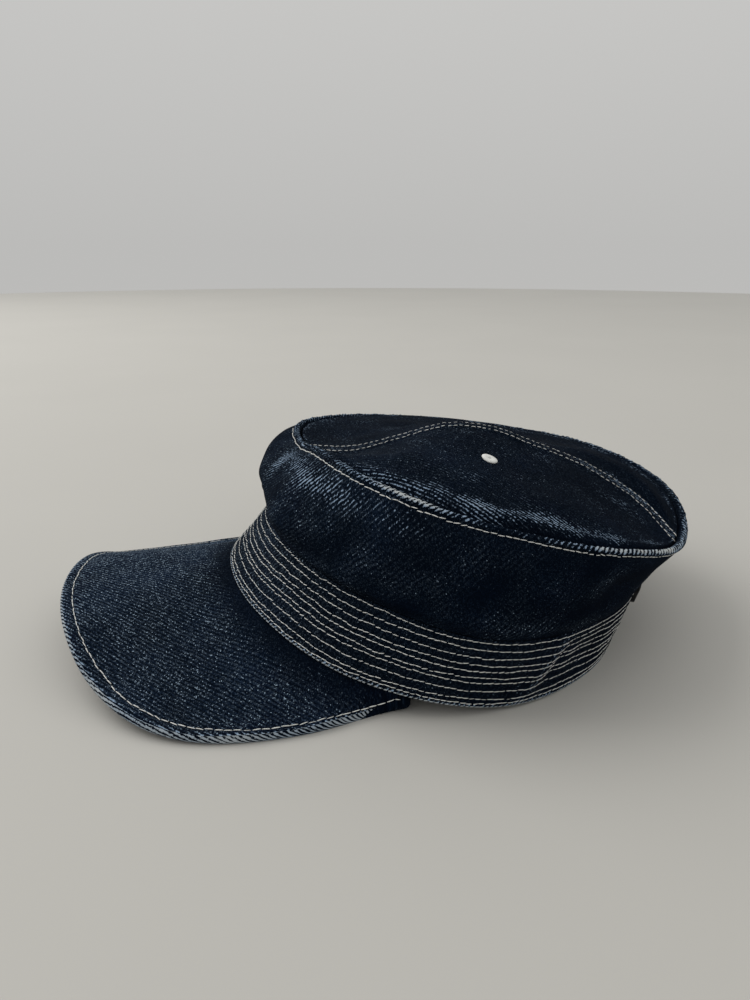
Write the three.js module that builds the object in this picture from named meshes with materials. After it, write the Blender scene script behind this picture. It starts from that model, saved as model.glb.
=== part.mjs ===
// A soft denim work cap that lies on a surface: a band with its rim on the surface, a side wall that
// bulges over it and slouches at the back, a top of two halves and a stiff arched peak.
// Millimetres, +Z up, the peak toward -Y, the origin under the middle of the cap.
import * as THREE from 'three';

// Thicknesses and clearances
const CLOTH = 1.6;
const BAND_CLOTH = 2.4;
const PEAK_THICKNESS = 3.2;
const GAP = 0.3;
const EDGE_GAP = 0.4;

// The raised edge seam round the top
const RIDGE_WIDTH = 3.2;
const RIDGE_HEIGHT = 1.2;
const RIDGE_RISE = 0.2;
const RIDGE_FALL = 0.75;
const GROOVE_DEPTH = 0.9;

// How far the whole cap is moved so that the origin lies under the middle of its box
const SHIFT = new THREE.Vector3(-1.2, 30.6, 0);

// Sections of the cap, every 30 degrees from the front toward +X and on round the back: a radius and
// a height for the rim and the top of the band, then for the bulge and the top edge of the wall, and
// the slope in degrees at which the top sets off from that edge
const SECTION_STEP = 30;
const BAND_SECTIONS = [
  { deg: 0, rimR: 97.6, rimZ: 29.0, bandR: 80.4, bandZ: 49.2 },
  { deg: 30, rimR: 99.3, rimZ: 24.6, bandR: 84.0, bandZ: 49.2 },
  { deg: 60, rimR: 99.0, rimZ: 12.8, bandR: 90.5, bandZ: 41.5 },
  { deg: 90, rimR: 93.7, rimZ: 2.4, bandR: 96.4, bandZ: 31.3 },
  { deg: 120, rimR: 85.2, rimZ: 0.0, bandR: 91.8, bandZ: 28.2 },
  { deg: 150, rimR: 79.6, rimZ: 0.0, bandR: 87.5, bandZ: 27.6 },
  { deg: 180, rimR: 79.4, rimZ: 0.0, bandR: 86.0, bandZ: 28.0 },
  { deg: 210, rimR: 79.6, rimZ: 0.0, bandR: 87.5, bandZ: 28.2 },
  { deg: 240, rimR: 85.2, rimZ: 0.0, bandR: 91.8, bandZ: 28.2 },
  { deg: 270, rimR: 92.6, rimZ: 1.6, bandR: 95.0, bandZ: 30.5 },
  { deg: 300, rimR: 96.0, rimZ: 9.0, bandR: 88.8, bandZ: 37.6 },
  { deg: 330, rimR: 95.0, rimZ: 17.6, bandR: 82.0, bandZ: 42.0 },
];
const WALL_SECTIONS = [
  { deg: 0, bulgeR: 79.6, bulgeZ: 66.0, edgeR: 64.6, edgeZ: 76.8, slope: 4 },
  { deg: 30, bulgeR: 84.7, bulgeZ: 62.0, edgeR: 66.4, edgeZ: 82.0, slope: 4 },
  { deg: 60, bulgeR: 90.2, bulgeZ: 57.6, edgeR: 77.0, edgeZ: 78.3, slope: 10 },
  { deg: 90, bulgeR: 98.0, bulgeZ: 49.6, edgeR: 89.2, edgeZ: 68.7, slope: 16 },
  { deg: 120, bulgeR: 97.8, bulgeZ: 44.4, edgeR: 97.0, edgeZ: 55.6, slope: 24 },
  { deg: 150, bulgeR: 94.6, bulgeZ: 36.5, edgeR: 103.0, edgeZ: 44.4, slope: 36 },
  { deg: 180, bulgeR: 99.2, bulgeZ: 40.4, edgeR: 107.0, edgeZ: 51.0, slope: 34 },
  { deg: 210, bulgeR: 103.8, bulgeZ: 42.6, edgeR: 104.4, edgeZ: 57.6, slope: 24 },
  { deg: 240, bulgeR: 103.4, bulgeZ: 43.4, edgeR: 99.0, edgeZ: 61.0, slope: 20 },
  { deg: 270, bulgeR: 97.6, bulgeZ: 48.0, edgeR: 90.6, edgeZ: 66.6, slope: 16 },
  { deg: 300, bulgeR: 91.0, bulgeZ: 55.6, edgeR: 80.4, edgeZ: 73.2, slope: 10 },
  { deg: 330, bulgeR: 88.3, bulgeZ: 65.6, edgeR: 75.0, edgeZ: 77.2, slope: 4 },
];
const SECTIONS = BAND_SECTIONS.map((row, k) => ({ ...row, ...WALL_SECTIONS[k] }));

// Angles from the front where the seam of the top meets the edge, in degrees toward +X
const SEAM_FRONT = 3;
const SEAM_BACK = 150;

// The seam of the top between its two ends: how far to +X, and the height, at equal steps
const SEAM = [
  { along: -42, across: 7.5, height: 76.5 },
  { along: -22, across: 10.1, height: 81.5 },
  { along: -2, across: 12.1, height: 86.9 },
  { along: 18, across: 13.6, height: 85.0 },
  { along: 38, across: 16.8, height: 77.6 },
  { along: 58, across: 20.8, height: 69.2 },
  { along: 78, across: 30.6, height: 56.4 },
];

// The peak's outline from its rear corner on the -X side round its front to the other one: across,
// reach from the middle of the band, and the height of its underside above the surface
const PEAK = [
  { across: -78, reach: 44.0, lift: 0.0 },
  { across: -89.5, reach: 78.0, lift: 0.0 },
  { across: -85.8, reach: 108.3, lift: 0.4 },
  { across: -76.5, reach: 134.3, lift: 3.0 },
  { across: -58.8, reach: 153.5, lift: 9.8 },
  { across: -33.0, reach: 164.7, lift: 19.0 },
  { across: -1.7, reach: 168.2, lift: 20.4 },
  { across: 29.4, reach: 163.5, lift: 17.2 },
  { across: 57.4, reach: 151.5, lift: 8.8 },
  { across: 78.2, reach: 133.4, lift: 3.0 },
  { across: 89.0, reach: 109.7, lift: 0.4 },
  { across: 90.5, reach: 77.0, lift: 0.0 },
  { across: 82, reach: 42.0, lift: 0.0 },
];
const PEAK_ROOT = 72;
const PEAK_TWIST = 6;
const PEAK_DROP = 2.2;
const PEAK_TUCK = 1.6;

// Folds and dents of the band and the wall: the angle, how far up the strip from 0 to 1, the slant in
// degrees for the strip's whole height, the widths, and the depth inward
const BAND_FOLDS = [
  { deg: 101.5, up: 0.5, slant: 12, wide: 3.5, tall: 1.4, depth: -1.0 },
  { deg: 112, up: 0.5, slant: 12, wide: 7.5, tall: 1.0, depth: 4.5 },
  { deg: 40, up: 0.4, slant: 10, wide: 10, tall: 0.6, depth: 1.0 },
  { deg: 215, up: 0.5, slant: -20, wide: 8, tall: 0.9, depth: 1.5 },
  { deg: 285, up: 0.5, slant: 10, wide: 9, tall: 0.9, depth: 1.2 },
];
const WALL_FOLDS = [
  { deg: 14, up: 0.62, slant: 30, wide: 6, tall: 0.3, depth: 1.6 },
  { deg: 30, up: 0.35, slant: 40, wide: 9, tall: 0.3, depth: -1.4 },
  { deg: 52, up: 0.45, slant: 24, wide: 9, tall: 0.35, depth: 1.5 },
  { deg: 86, up: 0.5, slant: 16, wide: 12, tall: 0.4, depth: 2.0 },
  { deg: 122, up: 0.35, slant: -20, wide: 9, tall: 0.3, depth: 3.8 },
  { deg: 150, up: 0.4, slant: -10, wide: 8, tall: 0.35, depth: -1.2 },
  { deg: 200, up: 0.4, slant: 10, wide: 9, tall: 0.35, depth: 1.8 },
  { deg: 250, up: 0.45, slant: 20, wide: 11, tall: 0.35, depth: 2.0 },
  { deg: 300, up: 0.5, slant: -20, wide: 10, tall: 0.35, depth: 1.6 },
  { deg: 330, up: 0.5, slant: -24, wide: 8, tall: 0.3, depth: 1.4 },
  { deg: 354, up: 0.28, slant: 0, wide: 18, tall: 0.2, depth: -3.4 },
  { deg: 0, up: 0.16, slant: 0, wide: 26, tall: 0.12, depth: 9.1 },
];

// Folds of the two halves of the top: how far along the seam and how far out to the edge, both from
// 0 to 1, the widths, and the height
const LEFT_FOLDS = [
  { along: 0.16, out: 0.55, wide: 0.07, deep: 0.3, height: -2.0 },
  { along: 0.3, out: 0.7, wide: 0.12, deep: 0.16, height: 1.6 },
  { along: 0.5, out: 0.45, wide: 0.18, deep: 0.2, height: -1.2 },
  { along: 0.72, out: 0.7, wide: 0.12, deep: 0.18, height: 1.8 },
  { along: 0.86, out: 0.5, wide: 0.07, deep: 0.25, height: -1.6 },
];
const RIGHT_FOLDS = [
  { along: 0.2, out: 0.5, wide: 0.08, deep: 0.25, height: -2.0 },
  { along: 0.5, out: 0.5, wide: 0.22, deep: 0.35, height: -5.0 },
  { along: 0.8, out: 0.3, wide: 0.15, deep: 0.3, height: 12.0 },
];

// How the two halves fall from the seam to the edge, the roll beside the edge, how close to the seam
// and the edge the folds fade out, the lap raised along the seam, and the share of the seam left free
// at each end
const LEFT_DOME = 2.2;
const RIGHT_DOME = 1.35;
const EDGE_ROLL = 2.4;
const EDGE_FADE = 6;
const SEAM_FADE = 5;
const SEAM_LAP = 0.5;
const SEAM_LAP_WIDTH = 0.08;
const SEAM_TRIM = 0.03;

// Eyelets in the top
const EYELET = { along: 0.528, out: 0.45, outer: 3.5, inner: 1.4, height: 0.9, sides: 20 };

// The strap across the back of the band and its plain buckle
const STRAP = { from: 144, to: 216, low: 17, high: 26, thickness: 1.8 };
const BUCKLE = { width: 18, height: 15, bar: 2.2, thickness: 1.6 };

// How finely the cloth is divided
const TURN_STEPS = 96;
const WALL_STEPS = 7;
const BAND_STEPS = 3;
const TOP_STEPS = 32;
const TOP_ROWS = 10;
const PEAK_STEPS = 40;
const PEAK_ROWS = 7;
const STRAP_STEPS = 14;

const radians = THREE.MathUtils.degToRad;
const lerp = THREE.MathUtils.lerp;

// The value at w, from 0 to 1, of a smooth curve that passes b and c between a and d
function cubic(a, b, c, d, w) {
  const second = 2 * a - 5 * b + 4 * c - d;
  const third = 3 * (b - c) + d - a;
  return b + 0.5 * w * (c - a + w * (second + w * third));
}

// A column of the sections at an angle from the front
function section(column, deg) {
  const count = 360 / SECTION_STEP;
  const place = deg / SECTION_STEP;
  const first = Math.floor(place);
  const value = (k) => {
    return SECTIONS[((k % count) + count) % count][column];
  };
  return cubic(value(first - 1), value(first), value(first + 1), value(first + 2), place - first);
}

// A column of an open table, from its first row at 0 to its last at 1
function along(table, column, t) {
  const last = table.length - 1;
  const place = THREE.MathUtils.clamp(t, 0, 1) * last;
  const first = Math.min(Math.floor(place), last - 1);
  const value = (k) => {
    if (k < 0) return 2 * table[0][column] - table[1][column];
    if (k > last) return 2 * table[last][column] - table[last - 1][column];
    return table[k][column];
  };
  return cubic(value(first - 1), value(first), value(first + 1), value(first + 2), place - first);
}

// A point at an angle from the front, a radius and a height
function at(deg, radius, height) {
  const angle = radians(deg);
  return new THREE.Vector3(radius * Math.sin(angle), -radius * Math.cos(angle), height);
}

// A soft bump that is 1 in its middle and fades with the distance over the width
function bump(distance, width) {
  return Math.exp(-((distance / width) ** 2));
}

// How far the folds push a strip inward at an angle and a height from 0 to 1
function foldDepth(folds, deg, up) {
  let depth = 0;
  for (const fold of folds) {
    const middle = fold.deg + fold.slant * (up - fold.up);
    const apart = ((deg - middle + 540) % 360) - 180;
    depth += fold.depth * bump(apart, fold.wide) * bump(up - fold.up, fold.tall);
  }
  return depth;
}

// A closed body through loops of points, joined into a ring or closed by its two ends.
// A loop goes out along one face of the cloth and back along the other.
function loft(loops, ring) {
  const size = loops[0].length;
  const positions = loops.flat().flatMap((point) => point.clone().add(SHIFT).toArray());
  const index = [];
  const quad = (a, b, c, d) => index.push(a, b, c, a, c, d);
  const spans = ring ? loops.length : loops.length - 1;
  for (let i = 0; i < spans; i++) {
    const here = i * size;
    const next = ((i + 1) % loops.length) * size;
    for (let j = 0; j < size; j++) {
      const k = (j + 1) % size;
      quad(here + j, next + j, next + k, here + k);
    }
  }
  if (!ring) {
    const end = (loops.length - 1) * size;
    for (let j = 0; j < size / 2 - 1; j++) {
      quad(j, j + 1, size - 2 - j, size - 1 - j);
      quad(end + j + 1, end + j, end + size - 1 - j, end + size - 2 - j);
    }
  }
  const geometry = new THREE.BufferGeometry();
  geometry.setAttribute('position', new THREE.Float32BufferAttribute(positions, 3));
  geometry.setIndex(index);
  return geometry;
}

// The band's outer face at an angle and a height from 0 at the rim to 1 at its top
function bandPoint(deg, up) {
  const depth = foldDepth(BAND_FOLDS, deg, up) * Math.sin(Math.PI * up);
  const radius = lerp(section('rimR', deg), section('bandR', deg), up) - depth;
  const height = Math.max(0, lerp(section('rimZ', deg), section('bandZ', deg), up));
  return { radius, height };
}

// The wall's outer face at an angle, from 0 at the band to 1 at the top edge: a bow through the bulge
function wallPoint(deg, up) {
  const bow = (low, middle, high) => {
    const pull = 2 * middle - (low + high) / 2;
    return (1 - up) ** 2 * low + 2 * up * (1 - up) * pull + up ** 2 * high;
  };
  const depth = foldDepth(WALL_FOLDS, deg, up) * Math.sin(Math.PI * up);
  return {
    radius: bow(section('bandR', deg) - GAP, section('bulgeR', deg), section('edgeR', deg)) - depth,
    height: bow(section('bandZ', deg) + GAP, section('bulgeZ', deg), section('edgeZ', deg)),
  };
}

// A point near the top edge: how far in along the top, and how far up from it
function edgePoint(deg, inward, upward) {
  const slope = radians(section('slope', deg));
  const radius = section('edgeR', deg) - inward * Math.cos(slope) + upward * Math.sin(slope);
  const height = section('edgeZ', deg) + inward * Math.sin(slope) + upward * Math.cos(slope);
  return at(deg, radius, height);
}

// The direction away from the cloth of the top at its edge
function edgeUp(deg) {
  const slope = radians(section('slope', deg));
  return at(deg, Math.sin(slope), Math.cos(slope));
}

function band() {
  const loops = [];
  for (let i = 0; i < TURN_STEPS; i++) {
    const deg = (360 * i) / TURN_STEPS;
    const outer = [];
    const inner = [];
    for (let j = 0; j <= BAND_STEPS; j++) {
      const { radius, height } = bandPoint(deg, j / BAND_STEPS);
      outer.push(at(deg, radius, height));
      inner.unshift(at(deg, radius - BAND_CLOTH, height));
    }
    loops.push([...outer, ...inner]);
  }
  return loft(loops, true);
}

function crownWall() {
  const loops = [];
  for (let i = 0; i < TURN_STEPS; i++) {
    const deg = (360 * i) / TURN_STEPS;
    const outer = [];
    const inner = [];
    for (let j = 0; j < WALL_STEPS; j++) {
      const up = j / WALL_STEPS;
      const here = wallPoint(deg, up);
      const above = wallPoint(deg, up + 1 / WALL_STEPS);
      const length = Math.hypot(above.radius - here.radius, above.height - here.height);
      const inward = ((above.height - here.height) / length) * CLOTH;
      const upward = j > 0 ? ((above.radius - here.radius) / length) * CLOTH : 0;
      outer.push(at(deg, here.radius, here.height));
      inner.unshift(at(deg, here.radius - inward, here.height + upward));
    }
    const ridge = [
      edgePoint(deg, 0, 0),
      edgePoint(deg, RIDGE_WIDTH * RIDGE_RISE, RIDGE_HEIGHT),
      edgePoint(deg, RIDGE_WIDTH * RIDGE_FALL, RIDGE_HEIGHT),
      edgePoint(deg, RIDGE_WIDTH, -GROOVE_DEPTH),
      edgePoint(deg, RIDGE_WIDTH, -GROOVE_DEPTH - CLOTH),
    ];
    loops.push([...outer, ...ridge, ...inner]);
  }
  return loft(loops, true);
}

// The seam of the top from its front end at 0 to its back end at 1
function seamPoint(t) {
  const front = edgePoint(SEAM_FRONT, RIDGE_WIDTH + 2 * EDGE_GAP, -GROOVE_DEPTH);
  const back = edgePoint(SEAM_BACK, RIDGE_WIDTH + 2 * EDGE_GAP, -GROOVE_DEPTH);
  const ends = [front, back].map((p) => ({ along: p.y, across: p.x, height: p.z }));
  const rows = [ends[0], ...SEAM, ends[1]];
  const place = (1 - Math.cos(Math.PI * t)) / 2;
  return new THREE.Vector3(
    along(rows, 'across', place),
    along(rows, 'along', place),
    along(rows, 'height', place),
  );
}

// The angle of the top edge beside a place along the seam: side is 1 for the half toward +X
// and -1 for the other
function topAngle(side, t) {
  return lerp(SEAM_FRONT, side > 0 ? SEAM_BACK : SEAM_BACK - 360, t);
}

// The upper face of a half of the top. t runs along the seam, and out from the seam at 0 to the edge at 1.
function topPoint(side, folds, t, out) {
  const seam = seamPoint(t);
  seam.x += (side * GAP) / 2;
  const deg = topAngle(side, t);
  const edge = edgePoint(deg, RIDGE_WIDTH + EDGE_GAP, -GROOVE_DEPTH);
  const point = seam.clone().lerp(edge, out);
  const ends = Math.sin(Math.PI * t);
  const free = ends * (1 - out ** EDGE_FADE);
  point.z = lerp(seam.z, edge.z, out ** (side > 0 ? LEFT_DOME : RIGHT_DOME));
  point.z += 2 * EDGE_ROLL * out ** 2 * free;
  for (const fold of folds) {
    const shape = bump(t - fold.along, fold.wide) * bump(out - fold.out, fold.deep);
    point.z += fold.height * shape * free * Math.min(1, out * SEAM_FADE);
  }
  point.z += SEAM_LAP * bump(out, SEAM_LAP_WIDTH) * ends;
  return point;
}

function topHalf(side, folds) {
  const loops = [];
  for (let i = 0; i <= TOP_STEPS; i++) {
    const t = lerp(SEAM_TRIM, 1 - SEAM_TRIM, i / TOP_STEPS);
    const upper = [];
    const lower = [];
    for (let j = 0; j <= TOP_ROWS; j++) {
      const out = j / TOP_ROWS;
      const point = topPoint(side, folds, t, out);
      const away = new THREE.Vector3(0, 0, 1).lerp(edgeUp(topAngle(side, t)), out);
      upper.push(point);
      lower.unshift(point.clone().addScaledVector(away, -CLOTH));
    }
    const loop = [...upper, ...lower];
    loops.push(side > 0 ? loop.reverse() : loop);
  }
  return loft(loops, false);
}

// The peak's upper face: s runs from -1 to 1 across it and out from the band at 0 to the edge at 1
function peakPoint(s, out) {
  const deg = s * PEAK_ROOT;
  const root = at(deg, section('rimR', deg) - PEAK_TUCK, section('rimZ', deg) - GAP);
  const place = (s + 1) / 2;
  const edge = new THREE.Vector3(along(PEAK, 'across', place), -along(PEAK, 'reach', place), 0);
  edge.applyAxisAngle(new THREE.Vector3(0, 0, 1), radians(PEAK_TWIST));
  edge.z = Math.max(0, along(PEAK, 'lift', place)) + PEAK_THICKNESS;
  const point = root.clone().lerp(edge, out);
  point.z = lerp(root.z, edge.z, 1 - (1 - out) ** PEAK_DROP);
  return point;
}

function peak() {
  const loops = [];
  for (let i = 0; i <= PEAK_STEPS; i++) {
    const s = lerp(-1, 1, i / PEAK_STEPS);
    const upper = [];
    const lower = [];
    for (let j = 0; j <= PEAK_ROWS; j++) {
      const point = peakPoint(s, j / PEAK_ROWS);
      upper.push(point);
      lower.unshift(point.clone().setZ(point.z - PEAK_THICKNESS));
    }
    loops.push([...upper, ...lower].reverse());
  }
  return loft(loops, false);
}

function eyelet(side, folds) {
  const step = 0.01;
  const place = topPoint(side, folds, EYELET.along, EYELET.out);
  const onward = topPoint(side, folds, EYELET.along + step, EYELET.out).sub(place);
  const outward = topPoint(side, folds, EYELET.along, EYELET.out + step).sub(place);
  const normal = outward.cross(onward).normalize();
  if (normal.z < 0) normal.negate();
  const { outer, inner, height } = EYELET;
  const profile = [
    [inner, 0],
    [outer, 0],
    [outer, height * 0.5],
    [outer - height * 0.5, height],
    [inner + height * 0.3, height],
    [inner, height * 0.6],
    [inner, 0],
  ].map(([radius, up]) => new THREE.Vector2(radius, up));
  const geometry = new THREE.LatheGeometry(profile, EYELET.sides);
  geometry.applyQuaternion(new THREE.Quaternion().setFromUnitVectors(new THREE.Vector3(0, 1, 0), normal));
  const seat = place.add(SHIFT).addScaledVector(normal, GAP);
  geometry.translate(seat.x, seat.y, seat.z);
  return geometry;
}

function backStrap() {
  const loops = [];
  for (let i = 0; i <= STRAP_STEPS; i++) {
    const deg = lerp(STRAP.from, STRAP.to, i / STRAP_STEPS);
    const top = section('bandZ', deg);
    const low = bandPoint(deg, STRAP.low / top).radius + GAP;
    const high = bandPoint(deg, STRAP.high / top).radius + GAP;
    loops.push([
      at(deg, low + STRAP.thickness, STRAP.low),
      at(deg, high + STRAP.thickness, STRAP.high),
      at(deg, high, STRAP.high),
      at(deg, low, STRAP.low),
    ]);
  }
  return loft(loops, false);
}

function strapBuckle() {
  const { width, height, bar, thickness } = BUCKLE;
  const frame = new THREE.Shape();
  frame.moveTo(-width / 2, -height / 2);
  frame.lineTo(width / 2, -height / 2);
  frame.lineTo(width / 2, height / 2);
  frame.lineTo(-width / 2, height / 2);
  const hole = new THREE.Path();
  hole.moveTo(-width / 2 + bar, -height / 2 + bar);
  hole.lineTo(-width / 2 + bar, height / 2 - bar);
  hole.lineTo(width / 2 - bar, height / 2 - bar);
  hole.lineTo(width / 2 - bar, -height / 2 + bar);
  frame.holes.push(hole);
  const geometry = new THREE.ExtrudeGeometry(frame, { depth: thickness, bevelEnabled: false });
  const middle = (STRAP.low + STRAP.high) / 2;
  const lean = Math.atan2(section('bandR', 180) - section('rimR', 180), section('bandZ', 180));
  const radius = bandPoint(180, middle / section('bandZ', 180)).radius;
  geometry.rotateX(Math.PI / 2 + lean);
  geometry.rotateZ(Math.PI);
  geometry.translate(0, radius + (GAP + STRAP.thickness + GAP) / Math.cos(lean), middle);
  geometry.translate(SHIFT.x, SHIFT.y, SHIFT.z);
  return geometry;
}

function part(name, geometry, color, roughness, metalness = 0) {
  const mesh = new THREE.Mesh(geometry, new THREE.MeshStandardMaterial({ color, roughness, metalness }));
  mesh.name = name;
  return mesh;
}

const cap = new THREE.Group();
cap.name = 'cap';
cap.add(part('band', band(), 0x232f49, 0.95));
cap.add(part('crown_wall', crownWall(), 0x1d2840, 0.95));
cap.add(part('top_left', topHalf(1, LEFT_FOLDS), 0x1f2b45, 0.95));
cap.add(part('top_right', topHalf(-1, RIGHT_FOLDS), 0x212d47, 0.95));
cap.add(part('peak', peak(), 0x1e2a42, 0.95));
cap.add(part('eyelet_left', eyelet(1, LEFT_FOLDS), 0xe6e1d3, 0.6));
cap.add(part('eyelet_right', eyelet(-1, RIGHT_FOLDS), 0xe6e1d3, 0.6));
cap.add(part('back_strap', backStrap(), 0x15151a, 0.6));
cap.add(part('strap_buckle', strapBuckle(), 0x8c8f92, 0.35, 1));

export default cap;
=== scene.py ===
"""A soft denim work cap lying on a table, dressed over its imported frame: stitched band, slouching side
wall, two-piece top, stiff peak, worked eyelets, strap with its buckle and every row of stitches."""
import math

import bpy
import numpy as np
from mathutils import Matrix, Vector
from bpy.props import FloatProperty, FloatVectorProperty, PointerProperty
from bpy.types import Operator, Panel, PropertyGroup


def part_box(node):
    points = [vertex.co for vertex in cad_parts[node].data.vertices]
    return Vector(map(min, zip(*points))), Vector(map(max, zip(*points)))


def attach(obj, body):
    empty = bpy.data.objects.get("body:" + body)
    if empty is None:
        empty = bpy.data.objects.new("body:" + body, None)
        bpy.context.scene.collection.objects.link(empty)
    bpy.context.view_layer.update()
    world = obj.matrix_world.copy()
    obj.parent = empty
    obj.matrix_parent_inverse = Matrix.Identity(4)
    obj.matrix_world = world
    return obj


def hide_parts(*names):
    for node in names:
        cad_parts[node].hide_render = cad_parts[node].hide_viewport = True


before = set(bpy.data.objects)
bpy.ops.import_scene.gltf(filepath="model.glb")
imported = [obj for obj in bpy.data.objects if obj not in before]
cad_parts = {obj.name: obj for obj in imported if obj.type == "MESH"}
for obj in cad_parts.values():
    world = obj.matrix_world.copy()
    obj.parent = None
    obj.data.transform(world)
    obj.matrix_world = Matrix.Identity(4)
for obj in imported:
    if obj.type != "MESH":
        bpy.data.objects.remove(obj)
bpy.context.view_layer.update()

bl_info = {
    "name": "Denim cap",
    "version": (1, 0, 0),
    "blender": (4, 5, 0),
    "location": "View3D > Sidebar > Cap",
    "description": "Makes a soft denim work cap with its stitches, eyelets, strap and buckle",
    "category": "Add Mesh",
}

MM = 0.001
ALL = math.inf


def columns(names, *rows):
    """A table as one array for each named column."""
    return dict(zip(names.split(), np.array(rows, float).T))


# Sizes as the solids have them, in millimetres and degrees
CLOTH = 1.6
BAND_CLOTH = 2.4
PEAK_THICKNESS = 3.2
GAP = 0.3
EDGE_GAP = 0.4
RIDGE_WIDTH = 3.2
GROOVE_DEPTH = 0.9
SHIFT = np.array((-1.2, 30.6, 0.0))
SECTION_STEP = 30
SECTIONS = columns(
    "deg rimR rimZ bandR bandZ bulgeR bulgeZ edgeR edgeZ slope",
    (0, 97.6, 29, 80.4, 49.2, 79.6, 66, 64.6, 76.8, 4),
    (30, 99.3, 24.6, 84, 49.2, 84.7, 62, 66.4, 82, 4),
    (60, 99, 12.8, 90.5, 41.5, 90.2, 57.6, 77, 78.3, 10),
    (90, 93.7, 2.4, 96.4, 31.3, 98, 49.6, 89.2, 68.7, 16),
    (120, 85.2, 0, 91.8, 28.2, 97.8, 44.4, 97, 55.6, 24),
    (150, 79.6, 0, 87.5, 27.6, 94.6, 36.5, 103, 44.4, 36),
    (180, 79.4, 0, 86, 28, 99.2, 40.4, 107, 51, 34),
    (210, 79.6, 0, 87.5, 28.2, 103.8, 42.6, 104.4, 57.6, 24),
    (240, 85.2, 0, 91.8, 28.2, 103.4, 43.4, 99, 61, 20),
    (270, 92.6, 1.6, 95, 30.5, 97.6, 48, 90.6, 66.6, 16),
    (300, 96, 9, 88.8, 37.6, 91, 55.6, 80.4, 73.2, 10),
    (330, 95, 17.6, 82, 42, 88.3, 65.6, 75, 77.2, 4),
)
SEAM_FRONT = 3
SEAM_BACK = 150
SEAM = columns(
    "along across height",
    (-42, 7.5, 76.5), (-22, 10.1, 81.5), (-2, 12.1, 86.9), (18, 13.6, 85), (38, 16.8, 77.6),
    (58, 20.8, 69.2), (78, 30.6, 56.4),
)
PEAK = columns(
    "across reach lift",
    (-78, 44, 0), (-89.5, 78, 0), (-85.8, 108.3, 0.4), (-76.5, 134.3, 3), (-58.8, 153.5, 9.8),
    (-33, 164.7, 19), (-1.7, 168.2, 20.4), (29.4, 163.5, 17.2), (57.4, 151.5, 8.8), (78.2, 133.4, 3),
    (89, 109.7, 0.4), (90.5, 77, 0), (82, 42, 0),
)
PEAK_ROOT = 72
PEAK_TWIST = 6
PEAK_TUCK = 1.6
EDGE_ROLL = 2.4
STRAP = dict(start=144, end=216, low=17, high=26, thickness=1.8)

# Powers and slopes of the curves across the peak and the halves of the top, as the solids have them
PEAK_DROP = 2.2
LEFT_DOME = 2.2
RIGHT_DOME = 1.35
EDGE_FADE = 6
SEAM_FADE = 5

# A patch on a strip: angle, place up it, slant over its height, width, height, and depth or strength
PATCH = "deg up slant wide tall much"
BAND_FOLDS = columns(
    PATCH,
    (101.5, 0.5, 12, 3.5, 1.4, -1),
    (106.5, 0.5, 12, 2.6, 1.2, 1.6),
    (114, 0.5, 12, 8, 1, 2.6),
    (40, 0.4, 10, 10, 0.6, 1),
    (215, 0.5, -20, 8, 0.9, 1.5),
    (285, 0.5, 10, 9, 0.9, 1.2),
)
WALL_FOLDS = columns(
    PATCH,
    (14, 0.62, 30, 6, 0.3, 1.6),
    (30, 0.35, 40, 9, 0.3, -1.4),
    (52, 0.45, 24, 9, 0.35, 1.5),
    (86, 0.5, 16, 12, 0.4, 2),
    (122, 0.35, -20, 9, 0.3, 3.8),
    (150, 0.4, -10, 8, 0.35, -1.2),
    (200, 0.4, 10, 9, 0.35, 1.8),
    (250, 0.45, 20, 11, 0.35, 2),
    (300, 0.5, -20, 10, 0.35, 1.6),
    (330, 0.5, -24, 8, 0.3, 1.4),
    (354, 0.28, 0, 18, 0.2, -3.4),
    (0, 0.16, 0, 26, 0.12, 9.1),
    (5, 0, 0, 1.6, ALL, -0.4),
    (70, 0.1, 0, 45, 0.09, -3),
)
# How the edge's stitches draw the wall in
EDGE_DRAW = columns(PATCH, (0, 0.975, 0, ALL, 0.02, 0.35))

# Folds of the halves of the top: place along the seam and out to the edge, widths, height
LEFT_FOLDS = columns(
    "along out wide deep height",
    (0.16, 0.55, 0.07, 0.3, -2),
    (0.3, 0.7, 0.12, 0.16, 1.6),
    (0.5, 0.45, 0.18, 0.2, -1.2),
    (0.72, 0.7, 0.12, 0.18, 1.8),
    (0.86, 0.5, 0.07, 0.25, -1.6),
)
RIGHT_FOLDS = columns(
    "along out wide deep height",
    (0.2, 0.5, 0.08, 0.25, -2),
    (0.5, 0.5, 0.22, 0.35, -5),
    (0.8, 0.3, 0.15, 0.3, 12),
)

# Where the denim is rubbed and where it is faded, from 0 for not at all to 1. The fade tables also
# paint light and shade: higher at the front, which faces the lamp, and low on the side turned from it.
BAND_WEAR = columns(PATCH, (0, 0, 0, ALL, 0.045, 0.72), (0, 1, 0, ALL, 0.03, 0.06))
CREASE_WEAR = columns(PATCH, (102, 0.5, 12, 2, ALL, 0.2))
BAND_FADE_AND_SHADE = columns(PATCH, (0, 0, 0, ALL, ALL, 0.24), (15, 0, 0, 34, ALL, 0.24))
RIDGE_WEAR = columns(
    PATCH,
    (0, 0, 0, ALL, ALL, 0.31),
    (68, 0, 0, 14, ALL, 0.45),
    (130, 0, 0, 23, ALL, 0.42),
    (93, 0, 0, 9, ALL, -0.28),
    (250, 0, 0, 60, ALL, 0.3),
)
BELT_WEAR = columns(PATCH, (34, 0.86, 0, 29, 0.1, 0.42))
BACK_WEAR = columns(PATCH, (215, 0.8, 0, 40, 0.15, 0.22))
FRONT_WEAR = columns(PATCH, (5, 0.72, 0, 5, 0.28, 0.38))
WALL_FADE_AND_SHADE = columns(
    PATCH,
    (0, 0, 0, ALL, ALL, 0.16),
    (250, 0, 0, 60, ALL, 0.3),
    (104, 0.1, 0, 12, 0.08, 0.22),
)
BELT_FADE_AND_SHADE = columns(PATCH, (24, 0, 0, 54, ALL, 0.23))

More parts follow.
